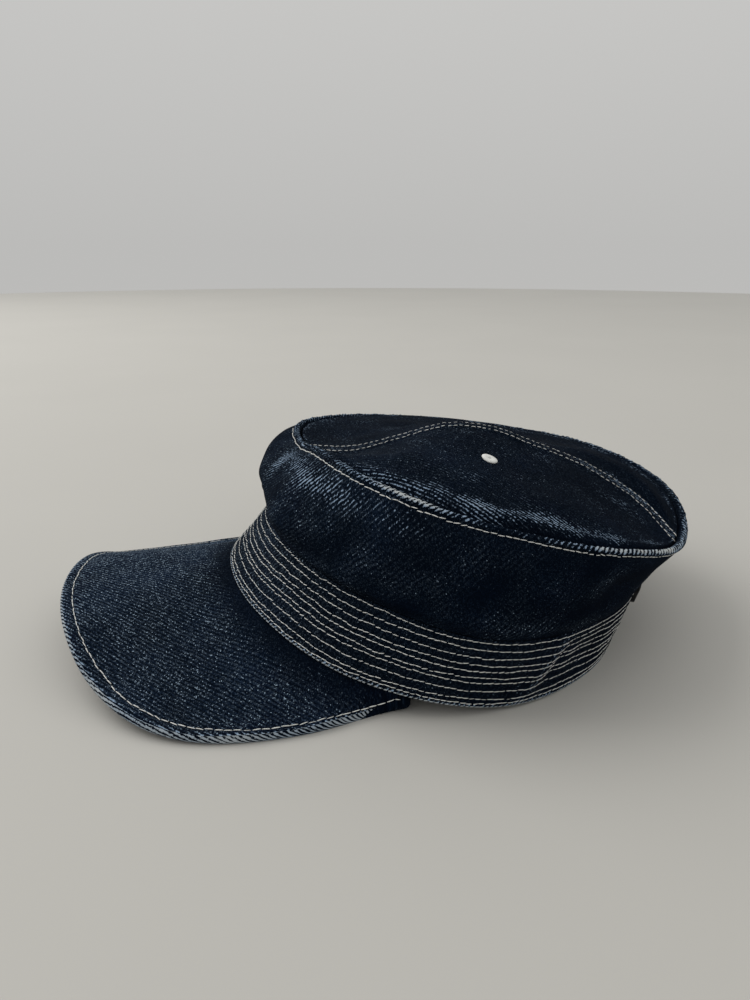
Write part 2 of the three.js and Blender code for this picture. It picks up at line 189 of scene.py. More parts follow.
# The rounded edge seam round the top, from the wall over the ridge and down into the groove
RIDGE = columns(
    "inward upward",
    (0, 0), (-0.25, 0.6), (0.25, 1.2), (1.1, 1.5), (2, 1.35), (2.75, 0.7), (3.05, -0.5),
    (3.15, -2), (3.2, -3.4),
)
RIDGE_CREST = 1.4
# The edge of the top where it goes down into the groove, past the groove's depth
HEM = columns("inward drop", (0.0, 2.7), (-0.1, 3.2), (-0.2, 3.8))
# The rounded corner of the band's edges, in from its face and along it
BAND_CORNER = [(0.0, 0.8), (0.12, 0.4), (0.4, 0.12), (0.8, 0.0)]
STRAP_CORNER = [(0.0, 0.35), (0.15, 0.1), (0.45, 0.0)]

# The rows of stitches up the band as shares of its height, and how they draw it in
BAND_ROWS = (0.065, 0.13, 0.25, 0.37, 0.44, 0.545, 0.62, 0.73, 0.84, 0.95)
QUILT_DEPTH, QUILT_WIDTH = 0.3, 0.55
# The other rows: at the band's front in degrees, up the wall as a share, in from seam and edge
FRONT_ROWS = (-3.2, -0.8)
EDGE_ROW = 0.978
SEAM_ROW = 3.0
PEAK_ROW = 5.0
# The lap of the top's seam, and the sizes of stitches
SEAM_LAP, LAP_HEIGHT, LAP_PUCKER = 4.2, 0.9, 0.14
BAND_STITCH_WIDTH, FRONT_STITCH_WIDTH = 0.34, 0.42
EDGE_STITCH = dict(pitch=2.6, length=2.6, width=0.41)
SEAM_STITCH = dict(pitch=2.5, length=2.0, width=0.38)
PEAK_STITCH = dict(pitch=3.2, length=3.2, width=0.4)

EYELET_PLACE = (0.528, 0.45)
EYELET_RADIUS, EYELET_TUBE, EYELET_FLAT, EYELET_LIFT = 1.8, 1.45, 0.42, 0.25
EYELET_RIBS, EYELET_RIB = 33, 0.05
BUCKLE = dict(wide=8.1, tall=6.6, wire=0.9, flat=0.8, corner=0.28)
PRONG = dict(radius=0.7, depth=17.0, squeeze=0.52, forward=0.4, back=0.8)

# The denim's weave: how many warp yarns its twill repeats over, and the size of its flecks
TWILL = 4
FLECK = 0.36
FLECK_LAYER = 7.0
LEATHER_DARK, LEATHER = (0.003, 0.003, 0.0035), (0.011, 0.011, 0.012)
METAL_DARK, METAL = (0.30, 0.30, 0.31), (0.5, 0.5, 0.51)

# The stage in metres, the camera in millimetres from the middle of the band, its angles in degrees
FLOOR_RADIUS = 2.6
LIGHT_PLACE = Vector((-0.9, -1.6, 1.7))
LIGHT_SIZE = 2.0
LIGHT_COLOR = (1.0, 0.98, 0.95)
SKY_COLOR = (1.0, 0.995, 0.975)
SKY_TOP = 1.5
CAMERA_PLACE = np.array((309.2, -67.6, 160.0))
CAMERA_DOWN = 19.4
CAMERA_TURN = 83.4
FOCAL_PIXELS = 727
PICTURE_PIXELS = 1000
SENSOR = 36


# Curves and surfaces

def smooth(values, place, ring=False):
    """A smooth curve through a row of values, at places counted in rows."""
    last = len(values) - 1
    first = np.floor(place).astype(int)
    if ring:
        value = lambda k: values[k % len(values)]
    else:
        first = np.clip(first, 0, last - 1)
        longer = np.concatenate(([2 * values[0] - values[1]], values, [2 * values[-1] - values[-2]]))
        value = lambda k: longer[k + 1]
    w = place - first
    a, b, c, d = (value(first + k) for k in (-1, 0, 1, 2))
    return b + 0.5 * w * (c - a + w * (2 * a - 5 * b + 4 * c - d + w * (3 * (b - c) + d - a)))


def section(column, deg):
    return smooth(SECTIONS[column], np.asarray(deg, float) / SECTION_STEP, ring=True)


def lerp(a, b, w):
    return a + (b - a) * w


def at(deg, radius, height):
    """A point at an angle from the front, a radius and a height."""
    angle = np.radians(deg)
    return np.stack(np.broadcast_arrays(radius * np.sin(angle), -radius * np.cos(angle), height), -1)


def bump(distance, width):
    return np.exp(-((distance / width) ** 2))


def ramp(value, start, width):
    """0 up to a start, then rising to 1 over a width."""
    return np.clip((value - start) / width, 0, 1)


def apart(deg, middle):
    """How far an angle is from another, from -180 to 180 degrees."""
    return (deg - middle + 540) % 360 - 180


def patches(table, deg, up):
    """The sum of a table's soft patches, at an angle and a place up a strip."""
    total = 0
    for middle, level, slant, wide, tall, much in zip(*table.values()):
        across = apart(deg, middle + slant * (up - level))
        total = total + much * bump(across, wide) * bump(up - level, tall)
    return total


def ripple(seed, x, y=0, count=7):
    """Gentle waves about 1 high and 1 long in all directions, the same on every run."""
    draw = np.random.default_rng(seed)
    total = 0
    for _ in range(count):
        turn, phase, size = draw.uniform(0, 2 * np.pi), draw.uniform(0, 2 * np.pi), draw.uniform(0.7, 1.6)
        total = total + np.sin(2 * np.pi * size * (x * np.cos(turn) + y * np.sin(turn)) + phase)
    return total / count ** 0.5


def ring_ripple(seed, deg, long, y=0, count=7, lead=30):
    """A ripple round the cap, as long in degrees as given, whose last degrees lead into its start."""
    deg = deg % 360
    early, late = (ripple(seed, angle / long, y, count) for angle in (deg - 360, deg))
    return lerp(late, early, ramp(deg, 360 - lead, lead))


def waves(seed, points, size):
    return ripple(seed, points[..., 0] / size, points[..., 1] / size)


def shares(first, last, count):
    """Evenly spaced rows of a sheet, as a column."""
    return np.linspace(first, last, count)[:, None]


def size_of(vectors):
    return np.linalg.norm(vectors, axis=-1)


def unit(vectors):
    return vectors / size_of(vectors)[..., None]


def band_slope(deg):
    """How far the band goes outward and up from its rim to its top."""
    return section("bandR", deg) - section("rimR", deg), section("bandZ", deg) - section("rimZ", deg)


def band_height(deg):
    return np.hypot(*band_slope(deg))


def band_point(deg, up, inward=0.0):
    """The band's outer face, from 0 at the rim to 1 at its top."""
    deg, up = np.broadcast_arrays(np.asarray(deg, float), up)
    rise = np.clip(up, 0, 1)
    depth = patches(BAND_FOLDS, deg, rise) * np.sin(np.pi * rise)
    tall = band_height(deg)
    for row in BAND_ROWS:
        depth = depth + QUILT_DEPTH * bump((up - row) * tall, QUILT_WIDTH)
    depth = depth + 0.16 * ring_ripple(3, deg, 9, up * 3) * np.sin(np.pi * rise)
    radius = lerp(section("rimR", deg), section("bandR", deg), up) - depth - inward
    height = np.maximum(0, lerp(section("rimZ", deg), section("bandZ", deg), up))
    return at(deg, radius, height)


def wall_face(deg, up):
    """The wall's outer face as a radius and a height: a bow from the band through the bulge."""
    def bow(low, middle, high):
        pull = 2 * middle - (low + high) / 2
        return (1 - up) ** 2 * low + 2 * up * (1 - up) * pull + up ** 2 * high

    folds = patches(WALL_FOLDS, deg, up) + 0.35 * ring_ripple(5, deg, 24, up * 1.3)
    depth = folds * np.sin(np.pi * np.clip(up, 0, 1)) + patches(EDGE_DRAW, deg, up)
    radius = bow(section("bandR", deg) - GAP, section("bulgeR", deg), section("edgeR", deg)) - depth
    height = bow(section("bandZ", deg) + GAP, section("bulgeZ", deg), section("edgeZ", deg))
    return radius, height


def wall_point(deg, up, inward=0.0):
    deg, up = np.broadcast_arrays(np.asarray(deg, float), up)
    radius, height = wall_face(deg, up)
    if inward:
        step = 0.01
        low, high = wall_face(deg, up - step), wall_face(deg, up + step)
        across, rise = high[0] - low[0], high[1] - low[1]
        length = np.hypot(across, rise)
        radius = radius - inward * rise / length
        height = height + inward * across / length
    return at(deg, radius, height)


def edge_point(deg, inward, upward):
    """A point of the edge seam, in from the wall's upper edge and up, turned by the top's slope."""
    slope = np.radians(section("slope", deg))
    radius = section("edgeR", deg) - inward * np.cos(slope) + upward * np.sin(slope)
    height = section("edgeZ", deg) + inward * np.sin(slope) + upward * np.cos(slope)
    return at(deg, radius, height)


def seam_point(t):
    """The seam of the top from its front end at 0 to its back end at 1."""
    front, back = (edge_point(deg, RIDGE_WIDTH + 2 * EDGE_GAP, -GROOVE_DEPTH)
                   for deg in (SEAM_FRONT, SEAM_BACK))
    place = (1 - np.cos(np.pi * t)) / 2 * (len(SEAM["along"]) + 1)
    parts = []
    for axis, name in enumerate(("across", "along", "height")):
        values = np.concatenate(([front[axis]], SEAM[name], [back[axis]]))
        parts.append(smooth(values, place))
    return np.stack(parts, -1)


def seam_rise(t, height, pucker):
    """How high the lapped seam stands over the top, puckered along it and flat at its two ends."""
    return (height + pucker * ripple(31, t * 45, count=5)) * np.sin(np.pi * t) ** 0.5


def top_angle(side, t):
    return lerp(SEAM_FRONT, SEAM_BACK if side > 0 else SEAM_BACK - 360, t)


def top_edge(side, t):
    return edge_point(top_angle(side, t), RIDGE_WIDTH + EDGE_GAP, -GROOVE_DEPTH)


def top_point(side, t, out):
    """The upper face of a half of the top: t runs along the seam, out from the seam to the edge."""
    t, out = np.broadcast_arrays(np.asarray(t, float), out)
    seam = seam_point(t)
    seam[..., 0] += side * GAP / 2
    edge = top_edge(side, t)
    point = lerp(seam, edge, out[..., None])
    ends = np.sin(np.pi * np.clip(t, 0, 1))
    inside = np.clip(out, 0, 1)
    free = ends * (1 - inside ** EDGE_FADE)
    height = lerp(seam[..., 2], edge[..., 2], inside ** (LEFT_DOME if side > 0 else RIGHT_DOME))
    height = height + 2 * EDGE_ROLL * inside ** 2 * free
    for along, middle, wide, deep, rise in zip(*(LEFT_FOLDS if side > 0 else RIGHT_FOLDS).values()):
        shape = bump(t - along, wide) * bump(out - middle, deep)
        height = height + rise * shape * free * np.minimum(1, inside * SEAM_FADE)
    height = height + 0.3 * waves(11 + side, point, 26) * free * np.minimum(1, inside * 4)
    # Beside the ridge lies a groove, deeper on the left near its back, and then a roll
    off = size_of((point - edge)[..., :2])
    wedge = bump(t - 0.63, 0.12) * (side > 0)
    groove = (0.8 + 1.9 * wedge) * bump(off, 1.1 + 1.1 * wedge)
    roll = 1.4 * bump(off - 3.6 - 1.9 * ramp(t, 0.42, 0.18), 3.2) * ends
    point[..., 2] = height - groove + roll
    return point


def top_length(side, t):
    """How far it is from the seam to the edge on a half of the top."""
    return np.maximum(size_of((top_edge(side, t) - seam_point(t))[..., :2]), 0.5)


def peak_edge(s):
    place = (np.asarray(s, float) + 1) / 2 * (len(PEAK["across"]) - 1)
    across, reach, lift = (smooth(PEAK[name], place) for name in ("across", "reach", "lift"))
    turn = math.radians(PEAK_TWIST)
    x = across * math.cos(turn) + reach * math.sin(turn)
    y = across * math.sin(turn) - reach * math.cos(turn)
    return np.stack((x, y, np.maximum(0, lift) + PEAK_THICKNESS), -1)


def peak_point(s, out):
    """The peak's upper face: s from -1 to 1 across it, out from the band at 0 to the edge at 1."""
    s, out = np.broadcast_arrays(np.asarray(s, float), out)
    deg = s * PEAK_ROOT
    root = at(deg, section("rimR", deg) - PEAK_TUCK, section("rimZ", deg) - GAP)
    edge = peak_edge(s)
    point = lerp(root, edge, out[..., None])
    point[..., 2] = lerp(root[..., 2], edge[..., 2], 1 - (1 - np.clip(out, 0, 1)) ** PEAK_DROP)
    return point


def peak_reach(s):
    """How far it is from the band to the peak's edge."""
    return size_of((peak_point(s, 1.0) - peak_point(s, 0.0))[..., :2])


# Making pieces

def deselect():
    if bpy.context.object and bpy.context.object.mode != "OBJECT":
        bpy.ops.object.mode_set(mode="OBJECT")
    bpy.ops.object.select_all(action="DESELECT")


def read_points(mesh):
    points = np.empty(len(mesh.vertices) * 3, np.float32)
    mesh.vertices.foreach_get("co", points)
    return points.reshape(-1, 3).astype(float)


def write_points(mesh, points):
    mesh.vertices.foreach_set("co", np.asarray(points, np.float32).ravel())
    mesh.update()


def cloth_lengths(points):
    """A flat pattern of a strip in millimetres: the mean length along its rows and up its columns."""
    along = size_of(np.diff(points, axis=1)).mean(axis=0)
    up = size_of(np.diff(points, axis=0)).mean(axis=1)
    u, v = np.concatenate(([0], along.cumsum())), np.concatenate(([0], up.cumsum()))
    return np.stack(np.meshgrid(u, v), -1)


def turn_grain(angle):
    """Turns a flat pattern, so that the weave runs at an angle to its rows."""
    return np.array(((math.cos(angle), math.sin(angle)), (-math.sin(angle), math.cos(angle))))


def edit(step, **settings):
    """Takes a step of edit mode on all of the active piece."""
    bpy.ops.object.mode_set(mode="EDIT")
    bpy.ops.mesh.select_all(action="SELECT")
    step(**settings)
    bpy.ops.object.mode_set(mode="OBJECT")


def add_sheet(name, points, pattern, close=False, **marks):
    """Adds a grid, moves its points onto rows of places and gives it its flat pattern and marks."""
    deselect()
    rows, across = points.shape[:2]
    bpy.ops.mesh.primitive_grid_add(x_subdivisions=across - 1, y_subdivisions=rows - 1, size=2)
    piece = bpy.context.object
    mesh = piece.data
    flat = read_points(mesh)
    order = np.lexsort((flat[:, 0].round(5), flat[:, 1].round(5)))
    place = np.empty_like(order)
    place[order] = np.arange(len(order))
    write_points(mesh, (points + SHIFT).reshape(-1, 3)[place] * MM)
    mesh.uv_layers[0].name = "cloth"
    corners = np.empty(len(mesh.loops), np.int32)
    mesh.loops.foreach_get("vertex_index", corners)
    pattern = pattern.reshape(-1, 2)[place][corners] * MM
    mesh.uv_layers["cloth"].data.foreach_set("uv", pattern.astype(np.float32).ravel())
    for mark, values in marks.items():
        layer = mesh.attributes.new(mark, "FLOAT", "POINT")
        values = np.broadcast_to(values, points.shape[:2])
        layer.data.foreach_set("value", values.reshape(-1)[place].astype(np.float32))
    if close:
        edit(bpy.ops.mesh.remove_doubles, threshold=1e-6)
    bpy.ops.object.shade_smooth()
    piece.name = mesh.name = name
    return piece


def settle(piece, slot, finish, *nodes):
    """Gives a finished piece its material and its body, and hides the solids it stands for; its slot is not
    used.
    """
    piece.data.materials.clear()
    piece.data.materials.append(finish)
    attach(piece, "root")
    if nodes:
        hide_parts(*nodes)


def apply_modifier(piece, kind, **settings):
    deselect()
    piece.select_set(True)
    bpy.context.view_layer.objects.active = piece
    modifier = piece.modifiers.new(kind.title(), kind)
    for key, value in settings.items():
        setattr(modifier, key, value)
    bpy.ops.object.modifier_apply(modifier=modifier.name)


def join(name, pieces):
    deselect()
    for piece in pieces:
        piece.select_set(True)
    bpy.context.view_layer.objects.active = pieces[0]
    bpy.ops.object.join()
    pieces[0].name = pieces[0].data.name = name
    return pieces[0]


def add_ring(around, across, radius, tube):
    """Adds a ring, and gives its points' angles, how far they are outside its middle line, and heights."""
    deselect()
    bpy.ops.mesh.primitive_torus_add(
        major_segments=around, minor_segments=across, major_radius=radius, minor_radius=tube)
    piece = bpy.context.object
    x, y, z = read_points(piece.data).T
    return piece, np.arctan2(y, x), np.hypot(x, y) - radius, z


def add_stitches(name, path, lifts, pitch, length, width, seed, slant=0.0):
    """One row of stitches along a path on the cloth: one is modelled, repeated by an array and each
    copy is laid on its place. The lifts point away from the cloth."""
    lengths = np.concatenate(([0], size_of(np.diff(path, axis=0)).cumsum()))
    count = max(1, int(lengths[-1] / pitch))
    spacing = 4
    deselect()
    bpy.ops.mesh.primitive_uv_sphere_add(segments=6, ring_count=5, radius=1)
    row = bpy.context.object
    apply_modifier(row, "ARRAY", count=count, use_relative_offset=False, use_constant_offset=True,
                   constant_offset_displace=(spacing, 0, 0))
    shape = read_points(row.data).reshape(count, -1, 3)
    shape[..., 0] -= spacing * np.arange(count)[:, None]
    along, side, up = shape[..., 2], shape[..., 0], shape[..., 1]
    along = np.sign(along) * np.abs(along) ** 0.7
    draw = np.random.default_rng(seed)
    middle = (np.arange(count) + 0.5) * lengths[-1] / count + draw.normal(0, 0.05 * pitch, count)
    where = lambda values, places: np.stack([np.interp(places, lengths, row) for row in values.T], -1)
    centre, lift = where(path, middle), unit(where(lifts, middle))
    before, after = np.maximum(middle - 0.5, 0), np.minimum(middle + 0.5, lengths[-1])
    ahead = unit(where(path, after) - where(path, before))
    across = unit(np.cross(lift, ahead))
    turn = (slant + draw.normal(0, 0.09, count))[:, None]
    cos, sin = np.cos(turn), np.sin(turn)
    ahead, across = ahead * cos + across * sin, across * cos - ahead * sin
    long = (length / 2 * draw.uniform(0.94, 1.04, count))[:, None, None]
    thick = (width / 2 * draw.uniform(0.88, 1.1, count))[:, None, None]
    sink, arch = 0.12, 0.12 * (1 - along ** 2) - 0.06
    centre = centre + lift * (width / 2 - sink + draw.normal(0, 0.03, count))[:, None]
    centre = centre + across * draw.normal(0, 0.13, count)[:, None]
    points = (centre[:, None, :]
              + ahead[:, None, :] * along[..., None] * long
              + across[:, None, :] * side[..., None] * thick
              + lift[:, None, :] * (up[..., None] * thick * 0.85 + arch[..., None]))
    write_points(row.data, (points.reshape(-1, 3) + SHIFT) * MM)
    bpy.ops.object.shade_smooth()
    row.name = row.data.name = name
    return row


def lifts_of(path, beside):
    """Directions away from a surface between two paths that lie beside each other on it."""
    return unit(np.cross(np.gradient(path, axis=0), beside - path))


# Materials

class Wire:
    """A shader socket that sums and products in Python join into Math nodes."""

    def __init__(self, finish, socket):
        self.finish = finish
        self.socket = socket

    def math(self, operation, *others):
        return self.finish.math(operation, self, *others)

    def __add__(self, other):
        return self.math("ADD", other)

    def __sub__(self, other):
        return self.math("SUBTRACT", other)

    def __rsub__(self, other):
        return self.finish.math("SUBTRACT", other, self)

    def __mul__(self, other):
        return self.math("MULTIPLY", other)

    def __truediv__(self, other):
        return self.math("DIVIDE", other)

    __radd__ = __add__
    __rmul__ = __mul__


class Finish:
    """The nodes of one material or of the sky."""

    def __init__(self, owner):
        owner.use_nodes = True
        self.owner = owner
        self.tree = owner.node_tree
        self.tree.nodes.clear()

    def add(self, kind, settings=None, values=None):
        """Adds a node, with its settings first and then the values or links of its sockets."""
        node = self.tree.nodes.new("ShaderNode" + kind)
        for key, value in (settings or {}).items():
            setattr(node, key, value)
        for key, value in (values or {}).items():
            value = getattr(value, "socket", value)
            if isinstance(value, bpy.types.NodeSocket):
                self.tree.links.new(value, node.inputs[key])
            else:
                node.inputs[key].default_value = value
        return node

    def wire(self, node, output=0):
        return Wire(self, node.outputs[output])

    def math(self, operation, *values):
        return self.wire(self.add("Math", {"operation": operation}, dict(enumerate(values))))

    def mark(self, name):
        return self.wire(self.add("Attribute", {"attribute_name": name}), "Fac")

    def step(self, value, low, high):
        """0 under the low value, 1 over the high one and smooth between them."""
        return self.wire(self.add("MapRange", {"interpolation_type": "SMOOTHSTEP"},
                                  {"Value": value, "From Min": low, "From Max": high}))

    def noise(self, place, size, detail=2.0, rough=0.5, stretch=(1, 1, 1)):
        """Noise of a size in millimetres, stretched by factors along the axes."""
        scaled = self.add("Mapping", None, {
            "Vector": place, "Scale": tuple(1 / (size * MM * factor) for factor in stretch)})
        return self.wire(self.add("TexNoise", None, {
            "Vector": scaled.outputs[0], "Scale": 1.0, "Detail": detail, "Roughness": rough}))

    def place(self):
        return self.add("TexCoord").outputs["Object"]

    def combine(self, *parts):
        return self.add("CombineXYZ", None, dict(enumerate(parts))).outputs[0]

    def lot(self, dimensions, *parts):
        """A random value for each whole cell."""
        return self.wire(self.add("TexWhiteNoise", {"noise_dimensions": dimensions},
                                  {"Vector": self.combine(*parts)}))

    def blend(self, factor, first, second):
        values = {0: factor, 6: first, 7: second}
        return self.wire(self.add("Mix", {"data_type": "RGBA"}, values), 2)

    def surface(self, color, height=None, depth=0.2, strength=1.0, **constants):
        values = {"Base Color": color, **constants}
        if height is not None:
            values["Normal"] = self.wire(self.add("Bump", None, {
                "Height": height, "Distance": depth * MM, "Strength": strength}))
        shader = self.add("BsdfPrincipled", None, {
            key.replace("_", " "): value for key, value in values.items()})
        self.add("OutputMaterial", None, {"Surface": shader.outputs[0]})
        return self.owner


def tint(color, factor=1.0):
    return tuple(part * factor for part in color) + (1.0,)


def denim(name, looks, tone=1.0):
    """Indigo twill: slanting ribs of warp with pale specks of weft between them, more of them where
    the cloth is faded and where light is painted on, fewer in painted shade, and strokes of the
    yarn's white core along the ribs where it is worn."""
    finish = Finish(bpy.data.materials.new(name))
    place = finish.add("UVMap", {"uv_map": "cloth"}).outputs[0]
    axes = finish.add("SeparateXYZ", None, {0: place})
    sway = lambda size, detail, much: (finish.noise(place, size, detail) - 0.5) * much
    u = finish.wire(axes, 0) / MM + sway(7.0, 2.0, 0.9) + sway(2.6, 1.0, 0.7)
    v = finish.wire(axes, 1) / MM + sway(9.0, 2.0, 0.9)

    # The weave as ribs across it, yarns and picks, and the cells where the weft lies over
    warp, pick = looks.warp / MM, looks.pick / MM
    slope = math.hypot(warp, pick)
    across = (u * pick - v * warp) / slope
    along = (u * warp + v * pick) / slope
    rib = (across * (2 * math.pi * slope / (TWILL * warp * pick))).math("SINE") * 0.5 + 0.5
    ends, picks = u / warp, v / pick
    end, row = ends.math("FLOOR"), picks.math("FLOOR")
    hill = lambda value: (value.math("FRACT") * math.pi).math("SINE")
    lot = finish.lot("2D", end, row)
    window = hill(ends) * hill(picks)
    over = finish.step((end - row + 1000 * TWILL).math("MODULO", TWILL), 1.6, 0.4)
    stroke = finish.noise(finish.combine(across * MM, along * MM), 1.0, 3.0, 0.7, (0.42, 1.0, 1))
    fuzz = finish.noise(place, 0.5, 3.0, 0.75)
    patch = finish.noise(place, 15.0, 4.0, 0.6)
    cloud = finish.noise(place, 34.0, 3.0)
    # The mark read here stands for faded cloth and also for painted light and shade: paler on sides facing
    # the lamp, darker as painted shade in the groove, near the peak's root and on the wall's side turned
    # from the lamp
    worn_by, fade = finish.mark("wear"), finish.mark("fade")

    # Pale flecks and haze of the weft, fewer where the cloth is rubbed
    fleck_u, fleck_v = u / FLECK, v / FLECK
    grain = finish.lot("3D", fleck_u.math("FLOOR"), fleck_v.math("FLOOR"), FLECK_LAYER)
    shape = hill(fleck_u) * hill(fleck_v)
    shown = finish.step(patch * 0.4 + rib * fade * 0.6 + lot * 0.15, 0.0, 0.86) * fade * looks.specks
    shown = shown * (1 - finish.step(worn_by, 0.1, 0.5) * 0.7)
    fleck = finish.step(grain + shown * 0.19, 1.0, 1.05) * (shape * 1.7).math("MINIMUM", 1.0)
    haze = window * over * lot.math("POWER", 3) * fade * 1.8 + finish.step(fuzz, 0.56, 0.8) * 0.24
    haze = haze + grain.math("POWER", 4) * shape * 0.7
    speck = haze * shown + fleck * 0.9

    # Strokes of white core where the cloth is worn, and the indigo under all of it
    worn = worn_by * 1.6 + (rib - 1) * 1.0 + (stroke - 0.5) * 1.3 + (lot - 0.5) * 0.75 + (fuzz - 0.5) * 0.8
    worn = finish.step(worn, 0.32, 0.7) * finish.step(worn_by, 0.0, 0.14)
    depth = rib * fade * fade * 1.2 + stroke * 0.6 + cloud * 0.7 + fuzz * 0.6 + grain * 0.4
    depth = finish.step(depth, 1.05, 1.85) * (fade * 0.75 + 0.3)
    color = finish.blend(depth, tint(looks.indigo_dark, tone), tint(looks.indigo, tone))
    color = finish.blend(speck.math("MINIMUM", 1.0), color, tint(looks.weft))
    rubbed = finish.blend(finish.step(worn_by, 0.35, 0.9), tint(looks.rubbed), tint(looks.worn))
    color = finish.blend(worn, color, rubbed)
    weft_side = finish.step(rib * 0.6 + fuzz * 0.6, 0.3, 1.0)
    back = finish.blend(weft_side, tint(looks.indigo, 1.6), tint(looks.weft, 0.45))
    color = finish.blend(finish.mark("inside"), color, back)
    height = rib * fade * 0.35 + window * 0.25 + fuzz * 0.5 + stroke * 0.35
    return finish.surface(color, height, 0.2, 0.7, Roughness=0.95, Specular_IOR_Level=0.02)


def cotton_thread(name, looks):
    """Off-white sewing thread, with its twist and a little dirt."""
    finish = Finish(bpy.data.materials.new(name))
    place = finish.place()
    grime = finish.noise(place, 5.0, 3.0)
    twist = finish.noise(place, 0.25, 2.0)
    clean = finish.step(grime + twist * 0.4, 0.3, 0.9)
    color = finish.blend(clean, tint(looks.thread, 0.8), tint(looks.thread))
    return finish.surface(color, twist, 0.08, 0.7, Roughness=0.8, Specular_IOR_Level=0.2)


def black_leather():
    finish = Finish(bpy.data.materials.new("black_leather"))
    place = finish.place()
    grain = finish.wire(finish.add("TexVoronoi", {"feature": "DISTANCE_TO_EDGE"}, {
        "Vector": place, "Scale": 1100.0}))
    scuff = finish.noise(place, 3.0, 3.0)
    color = finish.blend(scuff, tint(LEATHER_DARK), tint(LEATHER))
    rough = finish.step(scuff, 0.2, 1.0) * 0.25 + 0.42
    return finish.surface(color, finish.step(grain, 0.0, 0.25) + scuff * 0.3, 0.08, 0.6, Roughness=rough,
                          Specular_IOR_Level=0.3)


def grey_metal():
    finish = Finish(bpy.data.materials.new("grey_metal"))
    place = finish.place()
    brush = finish.noise(place, 0.6, 3.0, 0.6, (14, 1, 1))
    dull = finish.noise(place, 4.0, 3.0)
    color = finish.blend(dull, tint(METAL_DARK), tint(METAL))
    return finish.surface(color, brush, 0.02, 0.5, Metallic=1.0, Roughness=brush * 0.2 + 0.28)


# Settings that a user would change

SHADE = dict(subtype="COLOR", min=0, max=1)


class CapLooks(PropertyGroup):
    """Colours and weave of the cap."""

    indigo_dark: FloatVectorProperty(
        name="Indigo, deep", description="Colour of the denim between its ribs",
        default=(0.0009, 0.0027, 0.0066), **SHADE)
    indigo: FloatVectorProperty(
        name="Indigo", description="Colour of the denim on its ribs",
        default=(0.0072, 0.0195, 0.050), **SHADE)
    rubbed: FloatVectorProperty(
        name="Rubbed yarn", description="Colour of the denim where it is a little rubbed",
        default=(0.24, 0.33, 0.45), **SHADE)
    worn: FloatVectorProperty(
        name="Worn yarn", description="Colour of the yarn's core where the denim is worn through",
        default=(0.48, 0.50, 0.49), **SHADE)
    weft: FloatVectorProperty(
        name="Weft", description="Colour of the weft that shows as specks",
        default=(0.37, 0.49, 0.61), **SHADE)
    thread: FloatVectorProperty(
        name="Thread", description="Colour of the stitches and the eyelets",
        default=(0.78, 0.79, 0.765), **SHADE)
    specks: FloatProperty(
        name="Specks", description="How strongly the weft shows", default=1.0, min=0, max=2,
        subtype="FACTOR")
    warp: FloatProperty(
        name="Warp", description="Width of one warp yarn", default=0.46 * MM, min=0.1 * MM, unit="LENGTH")
    pick: FloatProperty(
        name="Pick", description="Height of one pick of the weft", default=0.68 * MM, min=0.1 * MM,
        unit="LENGTH")
    stitch: FloatProperty(
        name="Stitch pitch", description="Length of a stitch on the band and its gap", default=2.3 * MM,
        min=0.5 * MM, unit="LENGTH")


class StageLooks(PropertyGroup):
    """Floor and light round the cap."""

    floor: FloatVectorProperty(
        name="Floor", description="Colour of the floor", default=(0.52, 0.511, 0.482), **SHADE)
    daylight: FloatProperty(
        name="Daylight", description="Power of the large soft light", default=30.0, min=0, unit="POWER")
    sky: FloatProperty(name="Sky", description="Strength of the light from all round", default=0.50, min=0)


# Pieces

class CAP_OT_band(Operator):
    """Make the band with its rounded rim and quilted rows"""
    bl_idname = "cap.band"
    bl_label = "Band"

    def execute(self, context):
        deg = np.linspace(0, 360, 541)
        # Each row: its share of the height, millimetres along it and inward, and where it is rubbed
        far_corner = [(BAND_CLOTH - inward, along) for inward, along in BAND_CORNER]
        rows = [(up, 0, 0, up) for up in np.linspace(0.03, 0.97, 76)]
        rows += [(1, -along, inward, 1) for inward, along in BAND_CORNER[1:] + far_corner[::-1]]
        rows += [(up, 0, BAND_CLOTH, 0.5) for up in np.linspace(0.95, 0.05, 14)]
        rows += [(0, along, inward, 0) for inward, along in far_corner + BAND_CORNER[::-1]]
        rows.append(rows[0])
        up, along, inward, rub = np.array(rows, float).T[..., None]
        points = band_point(deg, up + along / band_height(deg), inward)
        wear = patches(BAND_WEAR, deg, rub) + patches(CREASE_WEAR, deg, rub) * (rub > 0.02)
        # The band's faded share is higher at its front, partly as painted light on the side facing the lamp
        piece = add_sheet("cap_band", points, cloth_lengths(points), close=True, wear=wear,
                          fade=patches(BAND_FADE_AND_SHADE, deg, rub), inside=inward > BAND_CLOTH / 2)
        settle(piece, "denim_band", denim("denim_band", context.scene.cap_looks, 0.9), "band")
        return {"FINISHED"}


